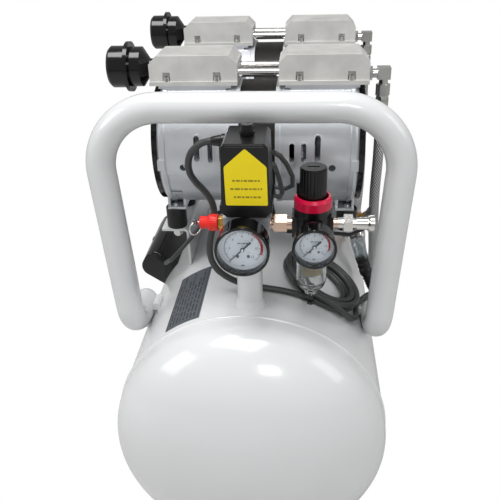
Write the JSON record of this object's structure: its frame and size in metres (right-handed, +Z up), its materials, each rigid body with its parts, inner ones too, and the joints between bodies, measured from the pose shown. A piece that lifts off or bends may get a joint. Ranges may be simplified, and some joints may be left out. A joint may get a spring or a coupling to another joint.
{
  "type": "oil-free air compressor",
  "caption": "Portable oil-free air compressor: floor tank on wheels with a carry handle, twin pump motors, pressure switch, gauges and filter-regulator outlet.",
  "frame": {"origin": "on the floor, below the middle of the tank", "axes": "+Z up, +Y along the tank from the control end to the wheel end, +X to the outlet side"},
  "size_m": [0.348, 0.724, 0.6],
  "materials": {
    "white_paint": "gloss white enamel",
    "rubber": "moulded black rubber",
    "tyre_rubber": "solid rubber tyre",
    "brass": "turned brass",
    "red_plastic": "moulded red plastic",
    "black_plastic": "moulded black plastic",
    "black_enamel": "black enamel",
    "dial_white": "printed dial",
    "clear_plastic": "clear polycarbonate",
    "chrome": "bright plate",
    "die_cast": "satin die casting",
    "cast_head": "sand cast",
    "dark_steel": "bare steel",
    "piston_black": "filled PTFE cup on a light alloy piston",
    "sintered": "sintered and moulded inner parts",
    "braid": "braided stainless wire",
    "plate_grey": "printed foil plate",
    "cable_grey": "rubber sheathed cable",
    "tube_black": "nylon air tube"
  },
  "bodies": {
    "root": {"tank_barrel": "white_paint", "tank_dishes": "white_paint", "manifold_post": "white_paint", "carry_handle": "white_paint", "mount_rails": "white_paint", "undercarriage_brackets": "white_paint", "rubber_feet": "rubber", "drain_valve_body": "brass", "manifold_block": "die_cast", "pressure_switch_base": "black_plastic", "pressure_switch_cover": "black_plastic", "switch_mechanism": "sintered", "gauge_cases": "black_enamel", "gauge_dials": "dial_white", "gauge_lenses": "clear_plastic", "safety_valve_body": "brass", "pipe_nipples": "chrome", "regulator_body": "black_plastic", "regulator_collar": "red_plastic", "filter_bowl": "clear_plastic", "filter_element": "sintered", "coupler_body": "chrome", "crankcases": "die_cast", "cylinder_heads": "cast_head", "cylinders": "cast_head", "stators": "dark_steel", "fan_guards": "black_enamel", "main_bearings": "chrome", "crossover_tubes": "chrome", "intake_filters": "black_plastic", "delivery_elbows": "chrome", "delivery_hoses": "braid", "check_valve": "brass", "rubber_mounts": "rubber", "screws": "chrome", "capacitor_cover": "black_plastic", "nameplate": "plate_grey", "motor_leads": "cable_grey", "unloader_tube": "tube_black", "power_lead": "cable_grey", "cord_coil": "cable_grey", "plug": "black_plastic"},
    "front_rotor": {"front_rotor": "dark_steel"},
    "front_conrods": {"front_conrods": "die_cast"},
    "front_pistons": {"front_pistons": "piston_black"},
    "rear_rotor": {"rear_rotor": "dark_steel"},
    "rear_conrods": {"rear_conrods": "die_cast"},
    "rear_pistons": {"rear_pistons": "piston_black"},
    "left_wheel": {"left_wheel": "tyre_rubber"},
    "right_wheel": {"right_wheel": "tyre_rubber"},
    "drain_valve_key": {"drain_valve_key": "red_plastic"},
    "switch_knob": {"switch_knob": "black_plastic"},
    "main_gauge_needle": {"main_gauge_needle": "black_enamel"},
    "regulator_gauge_needle": {"regulator_gauge_needle": "black_enamel"},
    "safety_valve_stem": {"safety_valve_stem": "chrome"},
    "safety_valve_ring": {"safety_valve_ring": "chrome"},
    "regulator_spindle": {"regulator_spindle": "chrome"},
    "regulator_knob": {"regulator_knob": "black_plastic"},
    "bowl_drain_pin": {"bowl_drain_pin": "black_plastic"},
    "coupler_sleeve": {"coupler_sleeve": "chrome"}
  },
  "joints": [
    {"name": "front_rotor_spin", "type": "hinge", "parent": "root", "child": "front_rotor", "pos_m": [0.004, -0.078, 0.485], "axis": [1, 0, 0], "continuous": true},
    {"name": "front_conrod_turn", "type": "hinge", "parent": "front_rotor", "child": "front_conrods", "pos_m": [0.004, -0.078, 0.479], "axis": [1, 0, 0], "continuous": true},
    {"name": "front_piston_stroke", "type": "slide", "parent": "root", "child": "front_pistons", "axis": [0, 0, 1], "range_m": [0, 0.012]},
    {"name": "rear_rotor_spin", "type": "hinge", "parent": "root", "child": "rear_rotor", "pos_m": [0.004, 0.15, 0.485], "axis": [1, 0, 0], "continuous": true},
    {"name": "rear_conrod_turn", "type": "hinge", "parent": "rear_rotor", "child": "rear_conrods", "pos_m": [0.004, 0.15, 0.479], "axis": [1, 0, 0], "continuous": true},
    {"name": "rear_piston_stroke", "type": "slide", "parent": "root", "child": "rear_pistons", "axis": [0, 0, 1], "range_m": [0, 0.012]},
    {"name": "left_wheel_spin", "type": "hinge", "parent": "root", "child": "left_wheel", "pos_m": [-0.152, 0.19, 0.065], "axis": [1, 0, 0], "continuous": true},
    {"name": "right_wheel_spin", "type": "hinge", "parent": "root", "child": "right_wheel", "pos_m": [0.152, 0.19, 0.065], "axis": [1, 0, 0], "continuous": true},
    {"name": "drain_key_turn", "type": "hinge", "parent": "root", "child": "drain_valve_key", "pos_m": [0.012, -0.15, 0.05], "axis": [1, 0, 0], "range_deg": [0, 90]},
    {"name": "switch_knob_pull", "type": "slide", "parent": "root", "child": "switch_knob", "axis": [0, 0, 1], "range_m": [0, 0.005]},
    {"name": "main_needle_turn", "type": "hinge", "parent": "root", "child": "main_gauge_needle", "pos_m": [0.0005, -0.3, 0.454], "axis": [0, 1, 0], "range_deg": [0, 270], "stiffness_Nm_per_rad": 0.0005, "springref_deg": -11.46},
    {"name": "regulator_needle_turn", "type": "hinge", "parent": "root", "child": "regulator_gauge_needle", "pos_m": [0.0665, -0.295, 0.455], "axis": [0, 1, 0], "range_deg": [0, 270], "stiffness_Nm_per_rad": 0.0005, "springref_deg": -11.46},
    {"name": "safety_stem_pull", "type": "slide", "parent": "root", "child": "safety_valve_stem", "axis": [-1, 0, 0], "range_m": [0, 0.003], "stiffness_N_per_m": 400, "springref_m": -0.003},
    {"name": "safety_ring_swing", "type": "hinge", "parent": "safety_valve_stem", "child": "safety_valve_ring", "pos_m": [-0.0521, -0.246, 0.455], "axis": [0.7071, 0.7071, 0], "range_deg": [0, 35]},
    {"name": "regulator_spindle_turn", "type": "hinge", "parent": "root", "child": "regulator_spindle", "pos_m": [0.065, -0.2443, 0.48], "axis": [0, 0, 1], "range_deg": [0, 360]},
    {"name": "regulator_knob_lift", "type": "slide", "parent": "regulator_spindle", "child": "regulator_knob", "axis": [0, 0, 1], "range_m": [0, 0.0035]},
    {"name": "bowl_drain_push", "type": "slide", "parent": "root", "child": "bowl_drain_pin", "axis": [0, 0, 1], "range_m": [0, 0.003]},
    {"name": "coupler_sleeve_pull", "type": "slide", "parent": "root", "child": "coupler_sleeve", "axis": [-1, 0, 0], "range_m": [0, 0.003], "stiffness_N_per_m": 800, "springref_m": -0.003}
  ],
  "couplings": [
    {"joint": "front_conrod_turn", "follows": "front_rotor_spin", "ratio": -1},
    {"joint": "rear_conrod_turn", "follows": "rear_rotor_spin", "ratio": -1}
  ]
}
